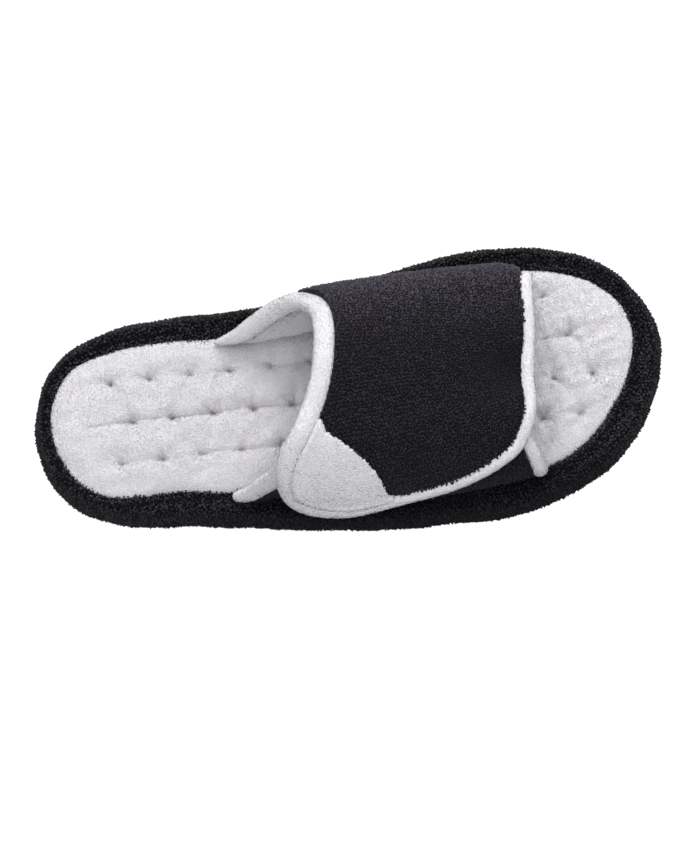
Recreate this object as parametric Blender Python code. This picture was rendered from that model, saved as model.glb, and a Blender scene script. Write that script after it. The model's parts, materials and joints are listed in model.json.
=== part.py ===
"""Open-toe slide slipper for the right foot, with a strap that closes over a side flap.

The slipper stands on the floor, toe towards +X, inner (medial) side towards +Y.
The tables give places as percentages of the driving dimensions, and sizes are in millimetres.
A point on the upper is found by two numbers: its percentage of the length, counted from the heel,
and its girth share, which runs over the foot from 0 at the inner side of the sole to 1 at the outer.
"""

import math

import bmesh
import bpy
import numpy as np

MM = 0.001
GAP = 0.3

# Driving dimensions
LENGTH = 263.3
BALL_WIDTH = 112.0
INSTEP_HEIGHT = 76.0
FOREFOOT_HEIGHT = 24.5
HEEL_LIFT = 4.0

# Sole
OUTSOLE_THICKNESS = 4.0
OUTSOLE_INSET = 3.0
OUTSOLE_ROUNDING = 1.4
INSOLE_THICKNESS = 6.5
MARGIN_DROP = 2.5
ARCH_RISE = 2.0
TOE_SPRING = 3.6
HEEL_ROLL = 1.5

# Where the sole's height changes, as lengths (%): each pair begins and ends a climb
ARCH_BACK = (32.0, 41.0)
ARCH_FRONT = (52.0, 43.0)
SPRING_ALONG = (80.0, 102.0)
HEEL_ROLL_ALONG = (4.5, -2.0)
HEEL_LIFT_ALONG = (63.0, 23.0)

# Upper
WALL = 3.5
FLAP_LAP = GAP + WALL
PATCH_THICKNESS = 1.2

# Edge bindings: breadth along the cloth and thickness through it
COLLAR_BINDING = (8.0, 5.2)
TRIM_BINDING = (5.0, 4.8)
FLAP_TOE_BINDING = (5.6, 4.6)

# Mesh counts: steps round the sole and insole, columns across them, panel grids and bead steps
SOLE_STEPS = 72
INSOLE_STEPS = 112
SOLE_COLUMNS = 6
INSOLE_COLUMNS = 16
STRAP_GRID = (20, 30)
FLAP_GRID = (18, 9)
PATCH_GRID = (14, 6)
BEAD_SIDES = 8
COLLAR_BEADS = 40
END_BEADS = 22
TOE_BEADS = 26
FLAP_BEADS = 14

# Outer edge of the padded sole: along (% length), medial and lateral (% ball width)
SOLE_EDGE = (
    (3.8, 28.2, -21.6),
    (11.4, 38.7, -32.0),
    (22.8, 41.4, -36.9),
    (34.2, 39.7, -41.7),
    (47.5, 41.1, -47.4),
    (60.8, 46.3, -50.8),
    (71.4, 49.0, -51.7),
    (80.5, 47.7, -47.9),
    (88.1, 42.3, -41.3),
    (94.9, 31.8, -27.6),
    (98.6, 18.2, -11.3),
)
SOLE_TIPS = ((0.0, 2.0), (100.0, 4.4))

# Inner edge of the plush rim, where the insole begins: same columns
INSOLE_EDGE = (
    (5.3, 22.6, -15.0),
    (11.4, 29.6, -25.4),
    (22.8, 31.2, -26.5),
    (34.2, 28.9, -31.5),
    (47.5, 30.3, -36.6),
    (60.8, 36.2, -40.0),
    (71.4, 38.9, -40.6),
    (80.5, 38.2, -37.1),
    (88.1, 32.9, -26.5),
    (92.7, 24.8, -13.0),
)
INSOLE_TIPS = ((2.8, 4.2), (95.6, 8.4))

# Rim section: across (0 at the sole's outer edge, 1 at the insole) and up (0 at the outsole, 1 at the crest)
RIM_SECTION = (
    (0.24, 0.00),
    (0.06, 0.10),
    (0.00, 0.42),
    (0.05, 0.72),
    (0.18, 0.93),
    (0.34, 1.00),
    (0.48, 0.95),
    (0.55, 0.87),
    (0.63, 0.93),
    (0.78, 0.94),
    (1.00, 0.865),
)

# Sections of the lining: along (% length), medial wall, crown and lateral wall,
# each as across (% ball width) and up (% instep height)
UPPER_SECTIONS = (
    (29.6, 27.0, 57.0, 3.5, 110.0, -28.6, 55.0),
    (36.5, 29.2, 60.0, 3.0, 108.0, -31.7, 54.0),
    (44.8, 34.0, 62.0, 2.0, 103.5, -40.5, 50.0),
    (55.0, 35.6, 60.0, 1.0, 95.0, -42.0, 48.0),
    (68.4, 35.5, 53.0, -0.5, 80.0, -40.6, 45.0),
    (81.3, 34.6, 47.0, -1.0, 66.0, -37.2, 42.0),
)

# Panel edges on the upper: along (% length) and girth share
STRAP_COLLAR_EDGE = (
    (32.9, 0.00),
    (39.5, 0.09),
    (45.2, 0.20),
    (48.3, 0.31),
    (48.3, 0.42),
    (45.9, 0.54),
    (42.0, 0.65),
    (40.4, 0.718),
    (41.0, 0.797),
)
STRAP_END_EDGE = (
    (41.0, 0.797),
    (45.0, 0.802),
    (53.0, 0.792),
    (61.9, 0.790),
    (68.0, 0.768),
    (72.3, 0.730),
)
STRAP_TOE_EDGE = (
    (79.4, 0.00),
    (78.9, 0.20),
    (77.8, 0.40),
    (75.8, 0.57),
    (74.2, 0.68),
    (72.3, 0.730),
)
FLAP_COLLAR_EDGE = ((30.8, 1.00), (33.5, 0.945), (36.0, 0.88), (38.55, 0.80), (41.0, 0.68))
FLAP_TOP_EDGE = ((41.0, 0.68), (56.0, 0.665), (73.0, 0.68))
FLAP_TOE_EDGE = ((76.6, 1.00), (75.9, 0.90), (75.0, 0.80), (73.0, 0.68))
PATCH_CORNER = (41.6, 0.788)
PATCH_BORDER = ((43.8, 0.60),) + STRAP_COLLAR_EDGE[6:8] + (PATCH_CORNER,) + STRAP_END_EDGE[1:3]
PATCH_SEAM = ((44.5, 0.622), (48.1, 0.659), (50.7, 0.707), (52.2, 0.782))

# Girth shares between which the strap climbs onto the flap,
# and how far its free corner stands off: height, lengths (%) and girth shares between which it rises
STRAP_CLIMB = (0.56, 0.655)
CORNER_LIFT = 4.0
CORNER_ALONG = (45.0, 37.5)
CORNER_GIRTH = (0.60, 0.74)

# Where the flap's heel end stands out over the rim's inner roll: lengths (%), outward and up
FLARE_ALONG = (38.0, 32.0)
FLARE = (5.0, 1.6)

# Insole quilting, straight rows of tacked hollows: across at the heel end (% ball width), first tack (% length)
QUILT_ROWS = (
    (33.2, 12.8),
    (17.2, 12.8),
    (2.0, 9.0),
    (-13.2, 12.8),
)
QUILT_HEEL_END = 12.8
QUILT_SLANT = -0.045
QUILT_PITCH = 16.8

# Depth and reach of a tacked hollow and of the shallow channel that joins them
QUILT_TACK = (1.5, 4.6)
QUILT_CHANNEL = (0.8, 3.6)
INSOLE_CROWN = 2.4
CROWN_RAMP = 9.0

# Lengths (%) between which the upper stands on the insole's margin
UPPER_BACK = (29.0, 33.0)
UPPER_FRONT = (84.0, 80.0)

# Girth shares over which the upper's walls turn upright towards the sole
MEDIAL_FOOT = (0.10, 0.0)
LATERAL_FOOT = (0.90, 1.0)

# Girth shares over which the bindings thin down to the wall, at the sole and under the strap
STRAP_BINDING_FOOT = (0.0, 0.06)
FLAP_BINDING_FOOT = (1.0, 0.94)
FLAP_COLLAR_TUCK = (0.70, 0.76)
FLAP_TOE_TUCK = (0.82, 0.88)

# Part of the flap's collar edge that its binding leaves free, where it stands on the rim
FLAP_COLLAR_START = 0.025

# Part of the strap binding's run over which it narrows from collar to trim breadth
BINDING_TAPER = (0.45, 0.60)

# Colours from the cloths: black terry, pale grey terry, dark rubber
BLACK_TERRY = (0.012, 0.012, 0.016, 1.0)
PALE_TERRY = (0.70, 0.69, 0.71, 1.0)
DARK_RUBBER = (0.02, 0.02, 0.022, 1.0)
CLOTH_ROUGHNESS = 0.95
RUBBER_ROUGHNESS = 0.8
SHARP_ANGLE = math.radians(50)
MERGE_DISTANCE = 1e-4


def spline(knots, values, at, period=None):
    """Cubic curve through the rows, read at the places given: natural at its ends, or closed."""
    knots = np.asarray(knots, float)
    values = np.asarray(values, float).reshape(len(knots), -1)
    if period:
        knots = np.concatenate([knots[-4:] - period, knots, knots[:4] + period])
        values = np.concatenate([values[-4:], values, values[:4]])
    gaps = np.diff(knots)[:, None]
    slopes = np.diff(values, axis=0) / gaps
    system = np.eye(len(knots))
    for row in range(1, len(knots) - 1):
        before, after = gaps[row - 1, 0], gaps[row, 0]
        system[row, row - 1 : row + 2] = before, 2 * (before + after), after
    right = np.zeros_like(values)
    right[1:-1] = 6 * np.diff(slopes, axis=0)
    bends = np.linalg.solve(system, right)
    at = np.atleast_1d(np.asarray(at, float))
    span = np.clip(np.searchsorted(knots, at) - 1, 0, len(gaps) - 1)
    gap = gaps[span]
    far = (at - knots[span])[:, None] / gap
    near = 1 - far
    curve = near * values[span] + far * values[span + 1]
    bow = (near**3 - near) * bends[span] + (far**3 - far) * bends[span + 1]
    return curve + bow * gap**2 / 6


def through(points, shares):
    """Smooth curve through points, read at shares of its length."""
    points = np.asarray(points, float)
    run = np.concatenate([[0], np.cumsum(np.linalg.norm(np.diff(points, axis=0), axis=1))])
    return spline(run / run[-1], points, shares)


def ease(low, high, place):
    """0 at low, 1 at high, and a smooth climb between them."""
    share = np.clip((np.asarray(place, float) - low) / (high - low), 0, 1)
    return share * share * (3 - 2 * share)


class Outline:
    """A closed plan outline, read by its turn: 0 at the heel, pi at the toe, by the medial side."""

    def __init__(self, rows, tips):
        scale = np.array([LENGTH, BALL_WIDTH]) / 100
        self.heel, self.toe = np.array(tips) * scale
        rows = np.array(rows) / 100 * (LENGTH, BALL_WIDTH, BALL_WIDTH)
        self.span = self.toe[0] - self.heel[0]
        turns = self.turn_at(rows[:, 0])
        self.knots = np.concatenate([[0], turns, [math.pi], 2 * math.pi - turns[::-1]])
        self.values = np.concatenate([[self.heel[1]], rows[:, 1], [self.toe[1]], rows[::-1, 2]])

    def turn_at(self, along):
        return np.arccos(np.clip(1 - 2 * (along - self.heel[0]) / self.span, -1, 1))

    def points(self, turns):
        turns = np.mod(turns, 2 * math.pi)
        along = self.heel[0] + self.span / 2 * (1 - np.cos(turns))
        across = spline(self.knots, self.values, turns, 2 * math.pi)[:, 0]
        return np.stack([along, across], axis=-1)

    def medial(self, along):
        return self.points(self.turn_at(along))[:, 1]

    def lateral(self, along):
        return self.points(2 * math.pi - self.turn_at(along))[:, 1]


SOLE = Outline(SOLE_EDGE, SOLE_TIPS)
INSOLE = Outline(INSOLE_EDGE, INSOLE_TIPS)
SOLE_TURNS = np.linspace(0, 2 * math.pi, SOLE_STEPS, endpoint=False)
INSOLE_TURNS = np.linspace(0, 2 * math.pi, INSOLE_STEPS, endpoint=False)
SOLE_LOOP = SOLE.points(SOLE_TURNS)
CENTRE = (SOLE_LOOP.min(axis=0) + SOLE_LOOP.max(axis=0)) / 2


def climb(percents, along):
    """Smooth climb from 0 to 1 between two lengths given in percent."""
    low, high = percents
    return ease(low * LENGTH / 100, high * LENGTH / 100, along)


def spring(along):
    return TOE_SPRING * climb(SPRING_ALONG, along)


def ground(along):
    """Height of the outsole's underside: flat under heel and ball, raised at arch, toe and heel end."""
    arch = climb(ARCH_BACK, along) * climb(ARCH_FRONT, along)
    return ARCH_RISE * arch + spring(along) + HEEL_ROLL * climb(HEEL_ROLL_ALONG, along)


def crest(along):
    """Height of the rim's roll above the floor."""
    return FOREFOOT_HEIGHT + HEEL_LIFT * climb(HEEL_LIFT_ALONG, along) + spring(along)


def margin(along):
    """Height of the insole's edge above the floor."""
    return crest(along) - MARGIN_DROP


def insole_floor(along):
    return margin(along) - INSOLE_THICKNESS


def loop_at(outline_points, height):
    """A ring of points: plan places with a height function of the length."""
    return np.column_stack([outline_points, height(outline_points[:, 0])])


def on_length(height):
    """A height function of the length, as a height function of plan places."""
    return lambda plan: height(plan[..., 0])


def inset(loop, distance):
    """The plan loop moved inwards by a distance."""
    tangent = np.roll(loop, -1, axis=0) - np.roll(loop, 1, axis=0)
    inward = np.column_stack([tangent[:, 1], -tangent[:, 0]])
    return loop + inward / np.linalg.norm(inward, axis=1)[:, None] * distance


# The upper's surface


def section_rows(along):
    rows = np.array(UPPER_SECTIONS)
    scale = np.array([BALL_WIDTH, INSTEP_HEIGHT] * 3) / 100
    return spline(rows[:, 0] * LENGTH / 100, rows[:, 1:] * scale, along)


def lining(along, girth):
    """Points of the upper's inner surface."""
    along, girth = np.broadcast_arrays(np.asarray(along, float), np.asarray(girth, float))
    columns = section_rows(along.ravel())
    foot = margin(along.ravel()) + GAP
    flare = climb(FLARE_ALONG, along.ravel())
    inner = INSOLE.medial(along.ravel()) - GAP - WALL
    outer = INSOLE.lateral(along.ravel()) + GAP + WALL - FLARE[0] * flare
    flared = foot + FLARE[1] * flare
    places = np.empty((along.size, 3))
    for row, share in enumerate(girth.ravel()):
        medial, crown, lateral = columns[row].reshape(3, 2)
        section = [(inner[row], foot[row]), medial, crown, lateral, (outer[row], flared[row])]
        places[row] = along.ravel()[row], *through(section, share)[0]
    return places.reshape(*along.shape, 3)


def outward(along, girth):
    """Unit normals of the upper, level where it stands on the sole."""
    stride, turn = 0.5, 0.002
    forward = lining(along + stride, girth) - lining(along - stride, girth)
    over = lining(along, np.minimum(girth + turn, 1)) - lining(along, np.maximum(girth - turn, 0))
    normal = np.cross(over, forward)
    normal /= np.linalg.norm(normal, axis=-1, keepdims=True)
    level = np.zeros_like(normal)
    level[..., 1] = np.where(girth < 0.5, 1.0, -1.0)
    share = (ease(*MEDIAL_FOOT, girth) + ease(*LATERAL_FOOT, girth))[..., None]
    normal = normal * (1 - share) + level * share
    return normal / np.linalg.norm(normal, axis=-1, keepdims=True)


def upper_point(place, height):
    """Points at a height over the lining, for places given as length (mm) and girth share."""
    along, girth = place[..., 0], place[..., 1]
    return lining(along, girth) + outward(along, girth) * np.asarray(height)[..., None]


def strap_height(place):
    """Height of the strap's inner face over the lining: it climbs onto the flap and its corner stands off."""
    along, girth = place[..., 0], place[..., 1]
    corner = climb(CORNER_ALONG, along) * ease(*CORNER_GIRTH, girth)
    return FLAP_LAP * ease(*STRAP_CLIMB, girth) + CORNER_LIFT * corner


def edge_places(rows, shares):
    """Places along a panel edge, as length (mm) and girth share."""
    girth_length = 2 * INSTEP_HEIGHT + BALL_WIDTH / 2
    rows = np.array(rows) * (LENGTH / 100, girth_length)
    return through(rows, shares) / (1, girth_length)


def panel(collar, end, toe, root_girth, grid):
    """Places inside four panel edges, in columns from collar to toe and rows from root to end."""
    across, over = (np.linspace(0, 1, count + 1) for count in grid)
    left, right = edge_places(collar, over), edge_places(toe, over)
    top = edge_places(end, across)
    root = np.column_stack([left[0, 0] + (right[0, 0] - left[0, 0]) * across, np.full(len(across), root_girth)])
    a, b = across[:, None, None], over[None, :, None]
    sides = (1 - a) * left[None] + a * right[None]
    ends = (1 - b) * root[:, None] + b * top[:, None]
    corners = (1 - a) * ((1 - b) * left[0] + b * left[-1]) + a * ((1 - b) * right[0] + b * right[-1])
    return sides + ends - corners


# Insole quilting


def quilted(plan, edge):
    """Height of the insole's pillowed top over its margin, from the plan place and its distance to the edge."""
    along, across = plan[..., 0], plan[..., 1]
    start = (WALL + 3 * GAP) * climb(UPPER_BACK, along) * climb(UPPER_FRONT, along)
    pillow = ease(0, CROWN_RAMP, edge - start)
    hollow = np.zeros_like(along)
    for row, first in QUILT_ROWS:
        slant = QUILT_SLANT * (along - QUILT_HEEL_END * LENGTH / 100)
        aside = across - row * BALL_WIDTH / 100 - slant
        beyond = along - first * LENGTH / 100 + QUILT_PITCH / 2
        beside = np.mod(beyond, QUILT_PITCH) - QUILT_PITCH / 2
        depth, reach = QUILT_CHANNEL
        hollow = hollow + depth * np.exp(-((aside / reach) ** 2))
        depth, reach = QUILT_TACK
        hollow = hollow + depth * np.exp(-((aside / reach) ** 2) - (beside / reach) ** 2)
    return np.maximum(INSOLE_CROWN - hollow, 0) * pillow


# Modelling


def finish(name, mesh, colour, roughness):
    """Turns the mesh into a named, coloured object of the slipper, in metres about its origin."""
    bmesh.ops.remove_doubles(mesh, verts=mesh.verts, dist=MERGE_DISTANCE)
    bmesh.ops.recalc_face_normals(mesh, faces=mesh.faces)
    for vertex in mesh.verts:
        vertex.co = ((vertex.co.x - CENTRE[0]) * MM, (vertex.co.y - CENTRE[1]) * MM, vertex.co.z * MM)
    data = bpy.data.meshes.new(name)
    mesh.to_mesh(data)
    mesh.free()
    data.shade_smooth()
    data.set_sharp_from_angle(angle=SHARP_ANGLE)
    material = bpy.data.materials.new(name)
    material.use_nodes = True
    shader = material.node_tree.nodes["Principled BSDF"]
    shader.inputs["Base Color"].default_value = colour
    shader.inputs["Roughness"].default_value = roughness
    data.materials.append(material)
    part = bpy.data.objects.new(name, data)
    bpy.data.collections["slide_slipper"].objects.link(part)


def sheet(mesh, places):
    """A grid of faces with its points at the places given. Returns its vertices in rows."""
    columns, rows = places.shape[0] - 1, places.shape[1] - 1
    grid = bmesh.ops.create_grid(mesh, x_segments=columns, y_segments=rows, size=1)["verts"]
    ordered = sorted(grid, key=lambda v: (round(v.co.x * columns), round(v.co.y * rows)))
    for vertex, place in zip(ordered, places.reshape(-1, 3)):
        vertex.co = place
    return ordered


def shell(name, under, over, colour):
    """A wall between two sheets of points of the same shape, closed round its edge."""
    mesh = bmesh.new()
    order = mesh.verts.layers.int.new("order")
    for number, vertex in enumerate(sheet(mesh, under)):
        vertex[order] = number
    raised = bmesh.ops.extrude_face_region(mesh, geom=mesh.faces[:], use_keep_orig=True)["geom"]
    places = over.reshape(-1, 3)
    for vertex in (item for item in raised if isinstance(item, bmesh.types.BMVert)):
        vertex.co = places[vertex[order]]
    finish(name, mesh, colour, CLOTH_ROUGHNESS)


def across_loop(ring, columns, height):
    """A grid of points that fills a ring from its lateral to its medial side."""
    half = len(ring) // 2
    medial = ring[: half + 1]
    lateral = np.concatenate([ring[:1], ring[: half - 1 : -1]])
    shares = np.linspace(0, 1, columns + 1)[None, :, None]
    plan = lateral[:, None, :2] * (1 - shares) + medial[:, None, :2] * shares
    heights = height(plan)
    heights[:, 0], heights[:, -1] = lateral[:, 2], medial[:, 2]
    return np.concatenate([plan, heights[..., None]], axis=2)


def stack(name, rings, columns, bottom, top, colour, roughness):
    """A solid of rings, one above another, closed by a sheet across the first and the last."""
    mesh = bmesh.new()
    turn = mesh.verts.layers.int.new("turn")
    circle = bmesh.ops.create_circle(mesh, segments=len(rings[0]), radius=1)["verts"]
    for number, vertex in enumerate(circle):
        vertex[turn] = number
        vertex.co = rings[0][number]
    edges = mesh.edges[:]
    for ring in rings[1:]:
        made = bmesh.ops.extrude_edge_only(mesh, edges=edges)["geom"]
        edges = [item for item in made if isinstance(item, bmesh.types.BMEdge)]
        for vertex in {vertex for edge in edges for vertex in edge.verts}:
            vertex.co = ring[vertex[turn]]
    sheet(mesh, across_loop(rings[0], columns[0], bottom))
    sheet(mesh, across_loop(rings[-1], columns[1], top))
    finish(name, mesh, colour, roughness)


def bead(name, path, aside, normal, breadth, thickness):
    """A flat-oval bead along a path on the cloth, flattened where it stands on the insole."""
    mesh = bmesh.new()
    side = mesh.verts.layers.int.new("side")
    angles = np.linspace(0, 2 * math.pi, BEAD_SIDES, endpoint=False) + math.pi / BEAD_SIDES
    wide = np.cos(angles)[None, :, None] * aside[:, None] * breadth[:, None, None] / 2
    thick = np.sin(angles)[None, :, None] * normal[:, None] * thickness[:, None, None] / 2
    rings = path[:, None] + wide + thick
    rings[..., 2] = np.maximum(rings[..., 2], margin(rings[..., 0]) + GAP)
    for number, vertex in enumerate(bmesh.ops.create_circle(mesh, segments=BEAD_SIDES, radius=1)["verts"]):
        vertex[side] = number
        vertex.co = rings[0, number]
    edges = mesh.edges[:]
    ends = [edges]
    for ring in rings[1:]:
        made = bmesh.ops.extrude_edge_only(mesh, edges=edges)["geom"]
        edges = [item for item in made if isinstance(item, bmesh.types.BMEdge)]
        for vertex in {vertex for edge in edges for vertex in edge.verts}:
            vertex.co = ring[vertex[side]]
    ends.append(edges)
    for loop in ends:
        bmesh.ops.contextual_create(mesh, geom=loop)
    finish(name, mesh, PALE_TERRY, CLOTH_ROUGHNESS)


def binding(name, places, height, breadth, thickness, outer_side):
    """A bead that runs outside a panel edge, a gap away from it."""
    middle = upper_point(places, height)
    tangent = np.gradient(middle, axis=0)
    tangent /= np.linalg.norm(tangent, axis=1)[:, None]
    normal = outward(places[:, 0], places[:, 1])
    aside = np.cross(tangent, normal) * outer_side
    aside /= np.linalg.norm(aside, axis=1)[:, None]
    path = middle + aside * (GAP + breadth / 2)[:, None]
    bead(name, path, aside, normal, breadth, thickness)


# The pieces


def make_outsole():
    edge = inset(SOLE_LOOP, OUTSOLE_INSET)
    foot = inset(SOLE_LOOP, OUTSOLE_INSET + OUTSOLE_ROUNDING)

    def top(along):
        return ground(along) + OUTSOLE_THICKNESS

    rings = [
        loop_at(foot, ground),
        loop_at(edge, lambda along: ground(along) + OUTSOLE_ROUNDING),
        loop_at(edge, top),
    ]
    columns = SOLE_COLUMNS, SOLE_COLUMNS
    stack("outsole", rings, columns, on_length(ground), on_length(top), DARK_RUBBER, RUBBER_ROUGHNESS)


def make_midsole():
    """The padded sole in its cloth wrap, with a plush rim round a recess for the insole."""
    inner = INSOLE.points(SOLE_TURNS)

    def base(along):
        return ground(along) + OUTSOLE_THICKNESS + GAP

    rings = []
    for across, up in RIM_SECTION:
        plan = SOLE_LOOP + (inner - SOLE_LOOP) * across
        low, high = base(plan[:, 0]), crest(plan[:, 0])
        rings.append(np.column_stack([plan, low + (high - low) * up]))
    rings.append(loop_at(inner, insole_floor))
    columns = SOLE_COLUMNS, SOLE_COLUMNS
    stack("midsole_rim", rings, columns, on_length(base), on_length(insole_floor), BLACK_TERRY, CLOTH_ROUGHNESS)


def make_insole():
    edge = inset(INSOLE.points(INSOLE_TURNS), GAP)

    def bottom(along):
        return insole_floor(along) + GAP

    def top(plan):
        lateral, medial = plan[:, :1, 1], plan[:, -1:, 1]
        to_edge = np.minimum(plan[..., 1] - lateral, medial - plan[..., 1])
        return margin(plan[..., 0]) + quilted(plan, to_edge)

    rings = [loop_at(edge, bottom), loop_at(edge, margin)]
    columns = SOLE_COLUMNS, INSOLE_COLUMNS
    stack("insole", rings, columns, on_length(bottom), top, PALE_TERRY, CLOTH_ROUGHNESS)


def make_flap():
    places = panel(FLAP_COLLAR_EDGE, FLAP_TOP_EDGE, FLAP_TOE_EDGE, 1.0, FLAP_GRID)
    flat = np.zeros(places.shape[:2])
    shell("upper_flap", upper_point(places, flat), upper_point(places, flat + WALL), BLACK_TERRY)


def make_strap():
    places = panel(STRAP_COLLAR_EDGE, STRAP_END_EDGE, STRAP_TOE_EDGE, 0.0, STRAP_GRID)
    height = strap_height(places)
    shell("upper_strap", upper_point(places, height), upper_point(places, height + WALL), BLACK_TERRY)


def make_patch():
    """The pale corner of the strap, laid on it between its free edges and a curved seam."""
    along, inwards = (np.linspace(0, 1, count + 1) for count in PATCH_GRID)
    border, seam = edge_places(PATCH_BORDER, along), edge_places(PATCH_SEAM, along)
    inwards = inwards[None, :, None]
    places = border[:, None] * (1 - inwards) + seam[:, None] * inwards
    height = strap_height(places) + WALL + GAP
    shell("corner_patch", upper_point(places, height), upper_point(places, height + PATCH_THICKNESS), PALE_TERRY)


def make_strap_binding():
    """One binding round the strap's free edges, wide at the collar and narrow at the end and toe."""
    collar = edge_places(STRAP_COLLAR_EDGE, np.linspace(0, 1, COLLAR_BEADS + 1))
    end = edge_places(STRAP_END_EDGE, np.linspace(0, 1, END_BEADS + 1))[1:]
    toe = edge_places(STRAP_TOE_EDGE, np.linspace(1, 0, TOE_BEADS + 1))[1:]
    places = np.concatenate([collar, end, toe])
    narrow = ease(*BINDING_TAPER, np.linspace(0, 1, len(places)))
    foot = ease(*STRAP_BINDING_FOOT, places[:, 1])
    breadth = COLLAR_BINDING[0] + (TRIM_BINDING[0] - COLLAR_BINDING[0]) * narrow
    thickness = COLLAR_BINDING[1] + (TRIM_BINDING[1] - COLLAR_BINDING[1]) * narrow
    thickness = WALL + (thickness - WALL) * foot
    lift = (thickness - WALL) / 2 * ease(*STRAP_CLIMB, places[:, 1])
    binding("strap_binding", places, strap_height(places) + WALL / 2 + lift, breadth, thickness, 1)


def make_flap_binding(name, rows, start, section, tuck, outer_side):
    """A binding on a free edge of the flap, flush with the lining and thin at the sole and under the strap."""
    places = edge_places(rows, np.linspace(start, 1, FLAP_BEADS + 1))
    full = ease(*FLAP_BINDING_FOOT, places[:, 1]) * ease(*tuck, places[:, 1])
    breadth = np.full(len(places), section[0])
    thickness = WALL + (section[1] - WALL) * full
    binding(name, places, thickness / 2, breadth, thickness, outer_side)


def main():
    for leftover in list(bpy.data.objects):
        bpy.data.objects.remove(leftover)
    slipper = bpy.data.collections.new("slide_slipper")
    bpy.context.scene.collection.children.link(slipper)
    make_outsole()
    make_midsole()
    make_insole()
    make_flap()
    make_strap()
    make_patch()
    make_strap_binding()
    collar = FLAP_COLLAR_EDGE, FLAP_COLLAR_START, COLLAR_BINDING, FLAP_COLLAR_TUCK
    make_flap_binding("flap_collar_binding", *collar, -1)
    make_flap_binding("flap_toe_binding", FLAP_TOE_EDGE, 0.0, FLAP_TOE_BINDING, FLAP_TOE_TUCK, 1)


if __name__ == "__main__":
    main()
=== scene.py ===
"""The looks of an open-toe slide slipper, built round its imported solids.

The toe points to +X and the inner side of the foot to +Y. Sizes in the classes are in millimetres, apart
from the studio's floor and lamps, and meshes are in metres.
"""

import json
import logging
import math
from collections.abc import Callable, Iterator, Sequence
from contextlib import contextmanager
from dataclasses import dataclass, replace
from enum import Enum

import bpy
import numpy as np
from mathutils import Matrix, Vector
from mathutils.bvhtree import BVHTree
from mathutils.kdtree import KDTree

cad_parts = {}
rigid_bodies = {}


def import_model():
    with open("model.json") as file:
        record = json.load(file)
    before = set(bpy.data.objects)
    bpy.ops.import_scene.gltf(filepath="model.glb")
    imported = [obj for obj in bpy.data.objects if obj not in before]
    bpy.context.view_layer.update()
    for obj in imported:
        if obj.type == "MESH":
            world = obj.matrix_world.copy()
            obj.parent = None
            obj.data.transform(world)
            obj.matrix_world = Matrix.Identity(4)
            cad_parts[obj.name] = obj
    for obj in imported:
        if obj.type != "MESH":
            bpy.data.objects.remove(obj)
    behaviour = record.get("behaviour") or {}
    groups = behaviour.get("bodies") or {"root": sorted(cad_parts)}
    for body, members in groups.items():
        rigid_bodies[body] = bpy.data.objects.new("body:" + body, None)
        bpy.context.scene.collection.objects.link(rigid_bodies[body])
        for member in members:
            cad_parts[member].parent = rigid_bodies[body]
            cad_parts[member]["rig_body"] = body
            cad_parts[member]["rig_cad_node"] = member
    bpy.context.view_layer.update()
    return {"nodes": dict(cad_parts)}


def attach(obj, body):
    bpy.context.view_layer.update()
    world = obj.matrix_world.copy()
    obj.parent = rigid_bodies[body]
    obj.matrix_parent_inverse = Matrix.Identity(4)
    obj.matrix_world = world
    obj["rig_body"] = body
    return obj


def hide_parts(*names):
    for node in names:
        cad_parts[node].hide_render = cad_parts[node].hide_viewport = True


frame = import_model()

MM = 0.001
BODY = "root"
MERGE_DISTANCE = 1e-6
FLAT_ENOUGH = math.radians(60)
WALL_EDGE = math.radians(50)
SMOOTHING = 0.5
FULL_TURN = 2 * math.pi
WAVES = 6
WAVE_STRETCH = (0.7, 1.5)
LOOP_RADIUS = 0.5
FIRST_COLOUR = 6
SECOND_COLOUR = 7
MIXED_COLOUR = 2
# The yarn's tone at each vertex: random loop tones, with painted light and painted shade marked into it.
LOOP_TONE = "loop_tone"
BAKE_MAP = "OFBake"

Colour = tuple[float, float, float, float]
Pair = tuple[float, float]
Size3 = tuple[float, float, float]
Piece = bpy.types.Object
Shade = Callable[[np.ndarray], np.ndarray]
log = logging.getLogger("slide_slipper")


class Slot(Enum):
    """The record's material slots."""

    RUBBER = "rubber"
    BLACK_TERRY = "black_terry"
    PALE_TERRY = "pale_terry"


class Yarn(Enum):
    """How the pile stands: as a round loop, or as a fine tuft of combed fibres.

    Each is given by the cone that it starts as: its sides, its height and the fill of its base.
    """

    LOOP = (4, 0.5, "TRIFAN")
    TUFT = (3, 1.0, "NGON")


class Sheet(Enum):
    """The two broad sides of an upper wall, by which way they look from the foot."""

    FACE = 1
    LINING = -1


# Handwork


def only(*pieces: Piece) -> None:
    """Selects these objects and nothing else, with the last one active.

    Args:
        pieces: The objects to select.
    """
    bpy.ops.object.select_all(action="DESELECT")
    for piece in pieces:
        piece.select_set(True)
        bpy.context.view_layer.objects.active = piece


@contextmanager
def editing(piece: Piece, chosen: np.ndarray | None = None) -> Iterator[None]:
    """Edit mode on one piece, with all of it selected, or only the vertices chosen.

    Args:
        piece: The mesh object to edit.
        chosen: A mark for each vertex that is selected.

    Returns:
        A context inside which mesh operators act on the piece.
    """
    only(piece)
    bpy.ops.object.mode_set(mode="EDIT")
    bpy.ops.mesh.select_mode(type="VERT")
    bpy.ops.mesh.select_all(action="SELECT" if chosen is None else "DESELECT")
    if chosen is not None:
        bpy.ops.object.mode_set(mode="OBJECT")
        piece.data.vertices.foreach_set("select", chosen)
        bpy.ops.object.mode_set(mode="EDIT")
    yield
    bpy.ops.object.mode_set(mode="OBJECT")


def select_square_edges() -> None:
    """Selects the square edges of the piece in edit mode, and nothing else."""
    bpy.ops.mesh.select_all(action="DESELECT")
    bpy.ops.mesh.select_mode(type="EDGE")
    bpy.ops.mesh.edges_select_sharp(sharpness=WALL_EDGE)


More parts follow.
